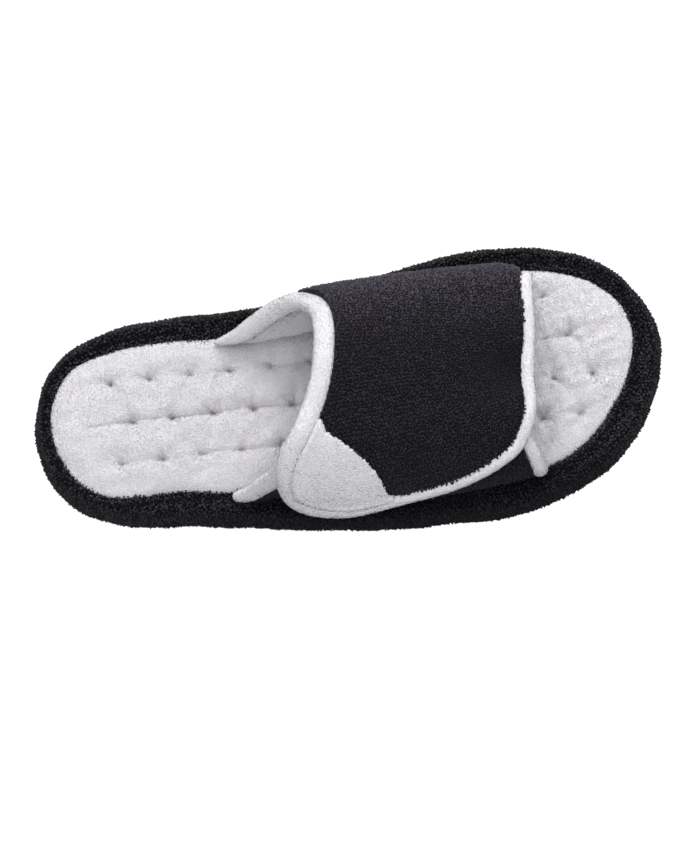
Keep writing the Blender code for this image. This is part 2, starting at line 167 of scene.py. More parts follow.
def apply_modifier(piece: Piece, kind: str, **settings: object) -> None:
    """Puts a modifier on a piece and applies it.

    Args:
        piece: The mesh object.
        kind: Blender's name for the modifier type.
        settings: The modifier's own values.
    """
    only(piece)
    modifier = piece.modifiers.new(kind.lower(), kind)
    for name, value in settings.items():
        setattr(modifier, name, value)
    bpy.ops.object.modifier_apply(modifier=modifier.name)


def subdivide_smooth(piece: Piece, levels: int) -> None:
    """Rounds a piece by a Subdivision Surface.

    Args:
        piece: The mesh object.
        levels: How often each face is divided.
    """
    settings = {"levels": levels, "render_levels": levels, "boundary_smooth": "PRESERVE_CORNERS"}
    apply_modifier(piece, "SUBSURF", **settings)
    piece.data.shade_smooth()


def copy_node(node: str, name: str) -> Piece:
    """Copies a CAD node as a new piece of whole, merged faces.

    Args:
        node: The CAD node's name.
        name: The new piece's name.

    Returns:
        The copy, with no parent and no material.
    """
    only(frame["nodes"][node])
    bpy.ops.object.duplicate()
    piece = bpy.context.active_object
    bpy.ops.object.parent_clear(type="CLEAR_KEEP_TRANSFORM")
    piece.name = piece.data.name = name
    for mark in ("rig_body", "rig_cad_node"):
        del piece[mark]
    piece.data.materials.clear()
    with editing(piece):
        bpy.ops.mesh.customdata_custom_splitnormals_clear()
        bpy.ops.mesh.remove_doubles(threshold=MERGE_DISTANCE)
        bpy.ops.mesh.tris_convert_to_quads(face_threshold=FLAT_ENOUGH, shape_threshold=FLAT_ENOUGH)
    return piece


def piece_named(name: str) -> Piece:
    """A CAD node, or else a finished piece, by its name."""
    return frame["nodes"].get(name) or bpy.data.objects[name]


def places_of(piece: Piece) -> np.ndarray:
    """Reads a piece's vertices.

    Args:
        piece: The mesh object.

    Returns:
        Their places in millimetres, one row each.
    """
    found = np.empty(len(piece.data.vertices) * 3)
    piece.data.vertices.foreach_get("co", found)
    return found.reshape(-1, 3) / MM


def move_to(piece: Piece, places: np.ndarray) -> None:
    """Puts a piece's vertices at places given in millimetres."""
    piece.data.vertices.foreach_set("co", (places * MM).ravel())
    piece.data.update()


def normals_of(piece: Piece) -> np.ndarray:
    """Reads a piece's vertex normals.

    Args:
        piece: The mesh object.

    Returns:
        The normals, one row each.
    """
    found = np.empty(len(piece.data.vertices) * 3)
    piece.data.vertex_normals.foreach_get("vector", found)
    return found.reshape(-1, 3)


def tones_of(cloth: Piece) -> np.ndarray:
    """Reads how clear the yarn's tone is on a cloth.

    Args:
        cloth: The mesh object.

    Returns:
        The tone at each vertex, 1 where the cloth has no marks.
    """
    found = np.ones(len(cloth.data.vertices))
    marks = cloth.data.attributes.get(LOOP_TONE)
    if marks:
        marks.data.foreach_get("value", found)
    return found


def set_tones(cloth: Piece, tones: np.ndarray) -> None:
    """Marks how clear the yarn's tone is at each vertex of a cloth."""
    cloth.data.attributes.new(LOOP_TONE, "FLOAT", "POINT").data.foreach_set("value", tones)


def ease(low: float, high: float, place: np.ndarray) -> np.ndarray:
    """Climbs smoothly from 0 at low to 1 at high.

    Args:
        low: Where the climb begins.
        high: Where it ends.
        place: Where it is read.

    Returns:
        The height of the climb, from 0 to 1.
    """
    share = np.clip((np.asarray(place, float) - low) / (high - low), 0, 1)
    return share * share * (3 - 2 * share)


def waviness(places: np.ndarray, length: float, seed: int) -> np.ndarray:
    """Soft, seeded unevenness of padding.

    Args:
        places: Points in millimetres.
        length: The length of one wave.
        seed: Which of many such patterns.

    Returns:
        A value near -1 to 1 at each point.
    """
    chance = np.random.default_rng(seed)
    total = np.zeros(len(places))
    for _ in range(WAVES):
        direction = chance.normal(size=3)
        direction /= np.linalg.norm(direction)
        turn = chance.uniform(*WAVE_STRETCH) * FULL_TURN / length
        total += np.sin(places @ direction * turn + chance.uniform(0, FULL_TURN))
    return total / (WAVES / 2)


def split_wall(piece: Piece) -> dict[Sheet, Piece]:
    """Takes a closed wall apart into the sheet that faces out and the one that lines the foot.

    Args:
        piece: A wall with square edges. It is used up.

    Returns:
        The two sheets.
    """
    with editing(piece):
        select_square_edges()
        bpy.ops.mesh.edge_split(type="EDGE")
        bpy.ops.mesh.select_all(action="SELECT")
        bpy.ops.mesh.separate(type="LOOSE")
    parts = sorted(bpy.context.selected_objects, key=lambda part: len(part.data.polygons))
    sheets = {}
    for part in parts[-2:]:
        looks = sum(face.center.dot(face.normal) * face.area for face in part.data.polygons)
        sheets[Sheet.FACE if looks > 0 else Sheet.LINING] = part
    for part in parts[:-2]:
        bpy.data.objects.remove(part)
    return sheets


def cover_tree(covers: Sequence[Piece]) -> BVHTree:
    """One search tree of the faces of several pieces.

    Args:
        covers: Mesh objects at the origin.

    Returns:
        A tree in metres.
    """
    corners, faces = [], []
    for cover in covers:
        start = len(corners)
        corners.extend(vertex.co.copy() for vertex in cover.data.vertices)
        faces.extend([start + corner for corner in face.vertices] for face in cover.data.polygons)
    return BVHTree.FromPolygons(corners, faces)


def point_tree(points: np.ndarray) -> KDTree:
    """One search tree of points.

    Args:
        points: Their places, one row each.

    Returns:
        A tree that knows each point by its row.
    """
    tree = KDTree(len(points))
    for number, point in enumerate(points):
        tree.insert(point, number)
    tree.balance()
    return tree


def gaps_to(places: np.ndarray, others: Sequence[Piece]) -> np.ndarray:
    """How far points lie from the nearest face of other pieces.

    Args:
        places: Points in millimetres.
        others: Mesh objects at the origin.

    Returns:
        A distance in millimetres for each point.
    """
    tree = cover_tree(others)
    return np.array([tree.find_nearest(Vector(place * MM))[3] for place in places]) / MM


# Finishes


def link_chain(tree: bpy.types.NodeTree, *joints: tuple) -> None:
    """Links output sockets to input sockets, given in pairs."""
    for source, target in joints:
        tree.links.new(source, target)


def add_node(
    tree: bpy.types.NodeTree, kind: str, values: dict[str | int, object] | None = None, **settings: object
) -> bpy.types.Node:
    """Adds a helper node to a material or a group.

    Args:
        tree: The tree that it goes in.
        kind: Its type, without the common start of the type's name.
        values: What its input sockets hold, by their names or numbers.
        settings: Its own settings, such as its operation.

    Returns:
        The node.
    """
    node = tree.nodes.new(f"ShaderNode{kind}")
    for name, setting in settings.items():
        setattr(node, name, setting)
    for socket, value in (values or {}).items():
        node.inputs[socket].default_value = value
    return node


def mix_colours(tree: bpy.types.NodeTree, colours: dict[int, Colour]) -> bpy.types.Node:
    """Adds a Mix node of colours, given by the numbers of their sockets."""
    return add_node(tree, "Mix", colours, data_type="RGBA")


def start_material(name: str) -> tuple[bpy.types.Material, bpy.types.NodeTree, bpy.types.Node]:
    """Starts a material.

    Args:
        name: Its name.

    Returns:
        The material, its node tree and the shader there.
    """
    material = bpy.data.materials.new(name)
    material.use_nodes = True
    return material, material.node_tree, material.node_tree.nodes["Principled BSDF"]


def terry_group() -> bpy.types.NodeTree:
    """The shader group of terry cloth, made once: odd fibres, soft mottling and the grain of the knit.

    Returns:
        A group with inputs Vector, Fleck Size and Rib Size, and outputs Fleck, Mottle and Height.
    """
    found = bpy.data.node_groups.get("terry_cloth")
    if found:
        return found
    group = bpy.data.node_groups.new("terry_cloth", "ShaderNodeTree")
    for name, kind in (("Vector", "Vector"), ("Fleck Size", "Float"), ("Rib Size", "Float")):
        group.interface.new_socket(name, in_out="INPUT", socket_type=f"NodeSocket{kind}")
    for name in ("Fleck", "Mottle", "Height"):
        group.interface.new_socket(name, in_out="OUTPUT", socket_type="NodeSocketFloat")
    given, out = group.nodes.new("NodeGroupInput"), group.nodes.new("NodeGroupOutput")
    fineness = add_node(group, "Math", {0: 1.0}, operation="DIVIDE")
    fleck = add_node(group, "TexNoise", {"Detail": 3.0})
    pick = add_node(group, "MapRange", {"From Min": 0.54, "From Max": 0.66})
    mottle = add_node(group, "TexNoise", {"Scale": 70.0, "Detail": 2.0})
    ribs = add_node(group, "Math", {0: 1.0}, operation="DIVIDE")
    loops = add_node(group, "TexVoronoi", {"Randomness": 0.7}, feature="F1")
    dome = add_node(group, "MapRange", {"From Max": 0.7, "To Min": 1.0, "To Max": 0.0})
    link_chain(
        group,
        (given.outputs["Fleck Size"], fineness.inputs[1]),
        (given.outputs["Vector"], fleck.inputs["Vector"]),
        (fineness.outputs[0], fleck.inputs["Scale"]),
        (fleck.outputs["Fac"], pick.inputs["Value"]),
        (pick.outputs["Result"], out.inputs["Fleck"]),
        (given.outputs["Vector"], mottle.inputs["Vector"]),
        (mottle.outputs["Fac"], out.inputs["Mottle"]),
        (given.outputs["Rib Size"], ribs.inputs[1]),
        (given.outputs["Vector"], loops.inputs["Vector"]),
        (ribs.outputs[0], loops.inputs["Scale"]),
        (loops.outputs["Distance"], dome.inputs["Value"]),
        (dome.outputs["Result"], out.inputs["Height"]),
    )
    return group


@dataclass(frozen=True)
class TerryFinish:
    """Terry cloth: the tones of its yarn and how it takes the light."""

    name: str
    slot: Slot
    # The ground, the tone between the loops, is darker than the yarn: painted shade between the loops.
    ground: Colour
    yarn: Colour
    fleck: Colour
    fleck_share: float
    fleck_size: float
    mottling: float
    rib_size: float
    rib_depth: float
    roughness: float
    specular: float
    sheen: float
    sheen_tint: Colour
    sheen_roughness: float = 0.45

    def material(self) -> bpy.types.Material:
        """The cloth's material, made once.

        Returns:
            A material whose loops take the yarn's tone and whose ground, between them, is deeper, as painted
            shade between the loops.
        """
        found = bpy.data.materials.get(self.name)
        if found:
            return found
        material, tree, shader = start_material(self.name)
        shader.inputs["Roughness"].default_value = self.roughness
        shader.inputs["Specular IOR Level"].default_value = self.specular
        shader.inputs["Sheen Weight"].default_value = self.sheen
        shader.inputs["Sheen Roughness"].default_value = self.sheen_roughness
        shader.inputs["Sheen Tint"].default_value = self.sheen_tint
        coordinates = add_node(tree, "TexCoord")
        sizes = {"Fleck Size": self.fleck_size * MM, "Rib Size": self.rib_size * MM}
        cloth = add_node(tree, "Group", sizes, node_tree=terry_group())
        tone = add_node(tree, "Attribute", attribute_name=LOOP_TONE)
        yarn = mix_colours(tree, {FIRST_COLOUR: self.ground, SECOND_COLOUR: self.yarn})
        fleck = mix_colours(tree, {SECOND_COLOUR: self.fleck})
        share = add_node(tree, "Math", {1: self.fleck_share}, operation="MULTIPLY")
        shade = add_node(tree, "MapRange", {"To Min": 1.0 - self.mottling, "To Max": 1.0 + self.mottling})
        mottled = add_node(tree, "VectorMath", operation="SCALE")
        bump = add_node(tree, "Bump", {"Distance": self.rib_depth * MM})
        link_chain(
            tree,
            (coordinates.outputs["Object"], cloth.inputs["Vector"]),
            (tone.outputs["Fac"], yarn.inputs["Factor"]),
            (cloth.outputs["Fleck"], share.inputs[0]),
            (share.outputs[0], fleck.inputs["Factor"]),
            (yarn.outputs[MIXED_COLOUR], fleck.inputs[FIRST_COLOUR]),
            (fleck.outputs[MIXED_COLOUR], mottled.inputs[0]),
            (cloth.outputs["Mottle"], shade.inputs["Value"]),
            (shade.outputs["Result"], mottled.inputs["Scale"]),
            (mottled.outputs[0], shader.inputs["Base Color"]),
            (cloth.outputs["Height"], bump.inputs["Height"]),
            (bump.outputs["Normal"], shader.inputs["Normal"]),
        )
        return material


@dataclass(frozen=True)
class RubberFinish:
    """Matte moulded rubber with a fine pebbled skin."""

    name: str = "outsole_rubber"
    slot: Slot = Slot.RUBBER
    tone: Colour = (0.016, 0.016, 0.018, 1.0)
    worn: Colour = (0.05, 0.05, 0.052, 1.0)
    pebble: float = 0.9
    pebble_depth: float = 0.25
    roughness: Pair = (0.55, 0.8)
    specular: float = 0.4
    dust_range: Pair = (0.5, 0.8)

    def material(self) -> bpy.types.Material:
        """The rubber's material, made once.

        Returns:
            A dark material with paler dust and fine pebbles.
        """
        found = bpy.data.materials.get(self.name)
        if found:
            return found
        material, tree, shader = start_material(self.name)
        shader.inputs["Specular IOR Level"].default_value = self.specular
        coordinates = add_node(tree, "TexCoord")
        dust = add_node(tree, "TexNoise", {"Scale": 90.0, "Detail": 4.0})
        tint = mix_colours(tree, {FIRST_COLOUR: self.tone, SECOND_COLOUR: self.worn})
        pick = add_node(tree, "MapRange", {"From Min": self.dust_range[0], "From Max": self.dust_range[1]})
        rough = add_node(tree, "MapRange", {"To Min": self.roughness[0], "To Max": self.roughness[1]})
        pebbles = add_node(tree, "TexVoronoi", {"Scale": 1 / (self.pebble * MM)})
        bump = add_node(tree, "Bump", {"Distance": self.pebble_depth * MM}, invert=True)
        link_chain(
            tree,
            (coordinates.outputs["Object"], dust.inputs["Vector"]),
            (dust.outputs["Fac"], pick.inputs["Value"]),
            (pick.outputs["Result"], tint.inputs["Factor"]),
            (tint.outputs[MIXED_COLOUR], shader.inputs["Base Color"]),
            (dust.outputs["Fac"], rough.inputs["Value"]),
            (rough.outputs["Result"], shader.inputs["Roughness"]),
            (coordinates.outputs["Object"], pebbles.inputs["Vector"]),
            (pebbles.outputs["Distance"], bump.inputs["Height"]),
            (bump.outputs["Normal"], shader.inputs["Normal"]),
        )
        return material


Finish = TerryFinish | RubberFinish

BLACK = TerryFinish(
    name="black_terry_cloth",
    slot=Slot.BLACK_TERRY,
    ground=(0.0035, 0.003, 0.0045, 1.0),
    yarn=(0.078, 0.07, 0.092, 1.0),
    fleck=(0.078, 0.07, 0.092, 1.0),
    fleck_share=0.1,
    fleck_size=0.9,
    mottling=0.15,
    rib_size=1.1,
    rib_depth=0.4,
    roughness=0.85,
    specular=0.12,
    sheen=0.16,
    sheen_tint=(0.9, 0.87, 1.0, 1.0),
)
PALE = TerryFinish(
    name="pale_terry_cloth",
    slot=Slot.PALE_TERRY,
    ground=(0.52, 0.51, 0.535, 1.0),
    yarn=(0.8, 0.785, 0.815, 1.0),
    fleck=(0.64, 0.625, 0.655, 1.0),
    fleck_share=0.4,
    fleck_size=0.8,
    mottling=0.06,
    rib_size=0.9,
    rib_depth=0.3,
    roughness=0.95,
    specular=0.25,
    sheen=0.1,
    sheen_tint=(1.0, 1.0, 1.0, 1.0),
)
# Painted light: a lighter copy of the pale cloth, for the trims and the linings, which get less light than
# the insole.
PALE_PAINTED_LIGHT = replace(
    PALE,
    name="pale_terry_painted_light",
    ground=(0.84, 0.83, 0.85, 1.0),
    yarn=(0.86, 0.842, 0.865, 1.0),
    fleck=(0.76, 0.745, 0.765, 1.0),
    sheen=0.3,
)
PLUSH = replace(
    BLACK,
    name="sole_terry_cloth",
    yarn=(0.058, 0.054, 0.063, 1.0),
    fleck=(0.12, 0.114, 0.126, 1.0),
    fleck_size=1.7,
    specular=0.05,
    sheen=0.05,
)
SHADED = replace(BLACK, name="flap_terry_cloth", sheen=0.06)
RUBBER = RubberFinish()


def dress(piece: Piece, finish: Finish, node: str | None = None) -> Piece:
    """Gives a piece its finish and its place on the slipper, and reports it.

    Args:
        piece: The finished mesh.
        finish: Its material and slot.
        node: The CAD node that it stands for, if any.

    Returns:
        The piece.
    """
    piece.data.materials.clear()
    piece.data.materials.append(finish.material())
    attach(piece, BODY)
    if node:
        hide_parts(node)
    piece.data.calc_loop_triangles()
    log.info("%s: %d triangles", piece.name, len(piece.data.loop_triangles))
    return piece


@dataclass(frozen=True)
class KnitRows:
    """Rows in which the loops of a knitted cloth stand, from heel to toe round the foot."""

    axis_height: float = 20.0
    pitch: float = 1.6
    hold: float = 0.3

    def settle(self, roots: np.ndarray) -> np.ndarray:
        """Draws loops towards their rows.

        Args:
            roots: Where the loops stand, in millimetres.

        Returns:
            Where they stand in their rows.
        """
        across, height = roots[:, 1], roots[:, 2] - self.axis_height
        turn, pitch = np.arctan2(height, across), math.radians(self.pitch)
        change = (np.round(turn / pitch) * pitch - turn) * self.hold
        sideways = across * np.cos(change) - height * np.sin(change)
        upwards = across * np.sin(change) + height * np.cos(change) + self.axis_height
        return np.column_stack([roots[:, 0], sideways, upwards])


@dataclass(frozen=True)
class Pile:
    """Terry loops that stand on a cloth, packed as close as their spacing lets them.

    A lap is how near a cover's edge loops begin to lean over it, how much they lean and how much they rise.
    """

    spacing: float
    loop: Size3
    lean: float
    seed: int = 0
    yarn: Yarn = Yarn.LOOP
    tones: Pair = (0.35, 1.0)
    softness: float = 0.3
    sunk: float = 0.3
    unevenness: float = 0.3
    clearance: float = 1.0
    tries: int = 5
    stubble: float = 0.55
    rows: KnitRows | None = None
    lap: Size3 = (0.0, 0.0, 0.0)
    lap_length: float = 0.7

    def grow(self, cloth: Piece, covers: Sequence[Piece] = (), shade: Shade | None = None) -> Piece:
        """Makes the loops of one cloth as one joined mesh.

        Args:
            cloth: The cloth that they stand on.
            covers: Pieces that lie on the cloth, under which none stand and over whose edges they lap.
            shade: How full the loops' tone is at given places. Where it is near 0 they are short too.

        Returns:
            The pile, named after the cloth.
        """
        chance = np.random.default_rng(self.seed)
        roots, normals, shades = self._roots(cloth, covers, chance)
        if self.rows:
            roots = self.rows.settle(roots)
        count = len(roots)
        fullness_and_painted_light = shade(roots) if shade else np.ones(count)
        lapping = self._lapping(roots, covers)
        over = np.linalg.norm(lapping, axis=1)[:, None]
        roots = roots + normals * over * self.lap[2]
        lapping = lapping * self.lap[1]
        tilt = normals + chance.normal(scale=math.tan(math.radians(self.lean)), size=(count, 3)) + lapping
        tilt /= np.linalg.norm(tilt, axis=1)[:, None]
        across = np.cross(tilt, chance.normal(size=(count, 3)))
        across /= np.linalg.norm(across, axis=1)[:, None]
        axes = np.stack([across, np.cross(tilt, across), tilt], axis=1)
        sizes = np.array(self.loop) * chance.uniform(1 - self.unevenness, 1 + self.unevenness, (count, 3))
        sizes *= np.clip(self.stubble + fullness_and_painted_light, 0, 1)[:, None]
        sizes[:, 2:] *= 1 + self.lap_length * over
        loop = self._model_loop()
        corners = places_of(loop) * MM
        places = roots[:, None] + np.einsum("vk,nk,nkx->nvx", corners, sizes, axes)
        pile = self._joined(loop, places, f"{cloth.name}_pile")
        # The loops' tones carry the painted shade marked on the cloth and the painted light and shade given
        # for their places.
        set_tones(pile, np.repeat(chance.uniform(*self.tones, count) * shades * fullness_and_painted_light, len(corners)))
        under = np.repeat(normals, len(corners), axis=0)
        blend = normals_of(pile) * (1 - self.softness) + under * self.softness
        pile.data.normals_split_custom_set_from_vertices(blend / np.linalg.norm(blend, axis=1)[:, None])
        bpy.data.objects.remove(loop)
        return pile

    def _roots(
        self, cloth: Piece, covers: Sequence[Piece], chance: np.random.Generator
    ) -> tuple[np.ndarray, np.ndarray, np.ndarray]:
        """Finds where the loops stand.

        Args:
            cloth: The cloth that they stand on.
            covers: Pieces under which none stand.
            chance: The source of chance.

        Returns:
            Their places in millimetres, and the cloth's normals and tones there.
        """
        mesh = cloth.data
        mesh.calc_loop_triangles()
        corners = np.empty(len(mesh.loop_triangles) * 3, int)
        mesh.loop_triangles.foreach_get("vertices", corners)
        corners = corners.reshape(-1, 3)
        places, normals = places_of(cloth), normals_of(cloth)
        one, two, three = (places[corners[:, side]] for side in range(3))
        areas = np.linalg.norm(np.cross(two - one, three - one), axis=1) / 2
        count = int(self.tries * areas.sum() / self.spacing**2)
        picked = corners[chance.choice(len(areas), count, p=areas / areas.sum())]
        shares = chance.dirichlet((1, 1, 1), count)[:, :, None]
        tried = (places[picked] * shares).sum(axis=1)
        facing = (normals[picked] * shares).sum(axis=1)
        facing /= np.linalg.norm(facing, axis=1)[:, None]
        shades = (tones_of(cloth)[picked] * shares[:, :, 0]).sum(axis=1)
        neighbours = point_tree(tried)
        free = np.ones(count, bool)
        for number in range(count):
            if free[number]:
                for _, other, _ in neighbours.find_range(tried[number], self.spacing):
                    free[other] = other == number
        if covers:
            over, each = cover_tree(covers), [cover_tree([cover]) for cover in covers]
            room = self.clearance * MM
            for number in np.flatnonzero(free):
                start, way = Vector(tried[number] * MM), Vector(facing[number])
                beside = sum(cover.find_nearest(start, room)[0] is not None for cover in each)
                free[number] = beside < 2 and over.ray_cast(start, way, room)[0] is None
        return tried[free], facing[free], shades[free]

    def _lapping(self, roots: np.ndarray, covers: Sequence[Piece]) -> np.ndarray:
        """Leans the loops beside a cover over its edge.

        Args:
            roots: Where the loops stand, in millimetres.
            covers: Pieces that lie on the cloth.

        Returns:
            Which way each loop leans, as long as the share of the lean that it takes.
        """
        lapping = np.zeros_like(roots)
        reach = self.lap[0]
        if not reach:
            return lapping
        tree = cover_tree(covers)
        for number, root in enumerate(roots):
            near, _, _, gap = tree.find_nearest(Vector(root * MM), reach * MM)
            if near:
                way = (near - Vector(root * MM)).normalized()
                lapping[number] = way * (1 - gap / (reach * MM))
        return lapping

    def _model_loop(self) -> Piece:
        """Models one loop or tuft, small and closed, of unit size, with its foot sunk in the cloth.

        Returns:
            A loop with four sides and two ends, or a tuft with three sides and one end.
        """
        only()
        sides, tall, base = self.yarn.value
        bpy.ops.mesh.primitive_cone_add(vertices=sides, radius1=LOOP_RADIUS, depth=tall, end_fill_type=base)
        loop = bpy.context.active_object
        if self.yarn is Yarn.LOOP:
            places = places_of(loop) * MM
            foot = np.hypot(places[:, 0], places[:, 1]) < LOOP_RADIUS / 2
            with editing(loop, foot & (places[:, 2] < 0)):
                bpy.ops.transform.translate(value=(0, 0, -tall))
        with editing(loop):
            bpy.ops.transform.translate(value=(0, 0, 1 - tall / 2 - self.sunk))
        return loop

    @staticmethod
    def _joined(loop: Piece, places: np.ndarray, name: str) -> Piece:
        """Joins many copies of a loop into one mesh, each with its own cell of the bake map.

        Args:
            loop: The loop that is copied.
            places: Where the vertices of each copy are, in millimetres.
            name: The new piece's name.

        Returns:
            The joined piece.
        """
        count, size = places.shape[:2]
        source = loop.data
        corners = np.empty(len(source.loops), int)
        source.loops.foreach_get("vertex_index", corners)
        starts = np.empty(len(source.polygons), int)
        source.polygons.foreach_get("loop_start", starts)
        flat = np.empty(len(source.loops) * 2)
        source.uv_layers[0].uv.foreach_get("vector", flat)
        turns = np.arange(count)[:, None]
        mesh = bpy.data.meshes.new(name)
        mesh.vertices.add(count * size)
        mesh.vertices.foreach_set("co", (places * MM).ravel())
        mesh.loops.add(count * len(corners))
        mesh.loops.foreach_set("vertex_index", (corners + turns * size).ravel())
        mesh.polygons.add(count * len(starts))
        mesh.polygons.foreach_set("loop_start", (starts + turns * len(corners)).ravel())
        mesh.update(calc_edges=True)
        mesh.shade_smooth()
        cells = math.ceil(math.sqrt(count))
        cell = np.column_stack([turns[:, 0] % cells, turns[:, 0] // cells])
        chart = (cell[:, None] + flat.reshape(-1, 2)) / cells
        mesh.uv_layers.new(name=BAKE_MAP).uv.foreach_set("vector", chart.ravel())
        pile = bpy.data.objects.new(name, mesh)
        bpy.context.scene.collection.objects.link(pile)
        return pile


TERRY = Pile(
    spacing=0.9,
    loop=(1.35, 0.95, 1.6),
    lean=34.0,
    softness=0.2,
    sunk=0.38,
    clearance=1.6,
    rows=KnitRows(),
    lap=(1.6, 1.2, 0.6),
    lap_length=0.5,
)
SOLE_TERRY = Pile(
    spacing=1.05,
    loop=(1.45, 1.05, 2.0),
    lean=34.0,
    seed=11,
    tones=(0.2, 1.0),
    softness=0.2,
    sunk=0.42,
    lap=(1.6, 1.2, 0.5),
)
FLEECE = Pile(
    spacing=0.62,
    loop=(1.3, 1.3, 0.85),
    lean=30.0,
    yarn=Yarn.TUFT,
    tones=(0.85, 1.0),
    softness=0.85,
    sunk=0.4,
)
LINING_FLEECE = replace(FLEECE, spacing=0.75, loop=(1.3, 1.3, 0.8))
FOOTBED_FLEECE = replace(
    FLEECE, loop=(1.2, 1.2, 0.95), lean=32.0, seed=23, tones=(0.8, 1.0), softness=0.8, sunk=0.3
)


# The slipper


@dataclass(frozen=True)
class Dent:
    """A soft hollow pressed or pulled into padded cloth, seen from above."""

    centre: Pair
    reach: float
    push: Size3
    # How much darker the pile's tone is painted in the hollow: painted shade.
    shade: float = 0.0

    def share(self, places: np.ndarray) -> np.ndarray:
        """How much of the hollow is felt at places in millimetres, from 0 to 1."""
        away = np.hypot(places[:, 0] - self.centre[0], places[:, 1] - self.centre[1])
        return np.exp(-((away / self.reach) ** 2))

    def press(self, piece: Piece) -> None:
        """Presses the hollow into a piece."""
        places = places_of(piece)
        move_to(piece, places + self.share(places)[:, None] * self.push)


def press_all(dents: Sequence[Dent], piece: Piece) -> None:
    """Presses several hollows into a piece, one after another."""
    for dent in dents:
        dent.press(piece)


@dataclass
class SoleUnit:
    """The rubber outsole and the padded sole in its black terry wrap.

    The welt is given by its own width and that of the groove round it.
    """

    levels: int = 2
    swell: float = 0.2
    unevenness: float = 0.35
    wave: float = 24.0
    heel_end: float = -50.0
    rim_height: float = 18.0
    settle: int = 5
    fill: float = 0.8
    welt: Pair = (3.2, 0.8)
    welt_ends: Pair = (45.0, 80.0)
    welt_tone: float = 0.5
    # Painted shade in the groove, where the loops are shorter too.
    groove_painted_shade: float = 0.95
    edges: tuple[Dent, ...] = (
        Dent((-16.0, -52.0), 22.0, (0.0, -0.7, 0.0)),
        Dent((66.0, -56.0), 12.0, (0.3, -0.6, 0.0)),
        Dent((112.0, -36.0), 14.0, (-0.4, 0.4, 0.0)),
    )
    # The outer side of the wrap and how much painted shade darkens its pile's tone there.
    outer_side: Pair = (-30.0, -50.0)
    outer_painted_shade: float = 0.6
    pile: Pile = SOLE_TERRY

    def build(self) -> list[Piece]:
        """Makes the outsole's finish, the wrap and its pile.

        Returns:
            The wrap and its pile.
        """
        outsole = frame["nodes"]["outsole"]
        outsole.data.materials.clear()
        outsole.data.materials.append(RUBBER.material())
        wrap = copy_node("midsole_rim", "sole_wrap")
        places = places_of(wrap)
        heel_roll = (places[:, 0] < self.heel_end) & (places[:, 2] > self.rim_height)
        with editing(wrap, heel_roll):
            bpy.ops.mesh.vertices_smooth(factor=SMOOTHING, repeat=self.settle)
        subdivide_smooth(wrap, self.levels)
        places = places_of(wrap)
        swell = self.swell + waviness(places, self.wave, self.pile.seed) * self.unevenness
        move_to(wrap, places + normals_of(wrap) * swell[:, None])
        press_all(self.edges, wrap)
        covers = [piece_named(cover) for cover in ("outsole", "footbed", "upper_flap")]
        loops = self.pile.grow(wrap, covers, self._welt_shade)
        return [dress(wrap, PLUSH, "midsole_rim"), dress(loops, PLUSH)]

    def _welt_shade(self, places: np.ndarray) -> np.ndarray:
        """Finds how full the pile is round the insole, with painted shade in the groove and at the outer
        side.

        At toe and heel a flat welt lies beside the insole, with a sewn groove round it.

        Args:
            places: Points on the wrap in millimetres.

        Returns:
            More than 1 on the welt, less than 1 at the outer side, as painted shade, and near 0 in the
            groove, as painted shade with shorter loops.
        """
        away, width = self.welt
        gap = gaps_to(places, [frame["nodes"]["insole"]])
        at_end = ease(*self.welt_ends, np.abs(places[:, 0]))
        groove = np.exp(-(((gap - away) / width) ** 2))
        welt = ease(away, away - width, gap)
        # Painted shade in the groove and on the outer side.
        fullness_and_painted_light = 1 + at_end * (self.welt_tone * welt - self.groove_painted_shade * groove)
        return fullness_and_painted_light * (1 - self.outer_painted_shade * ease(*self.outer_side, places[:, 1]))


@dataclass(frozen=True)
class QuiltRow:
    """A straight row of tacks: where it crosses the heel end, its first tack, its crease and its trough."""

    across: float
    first: float
    crease: float
    crease_from: float
    trough: float


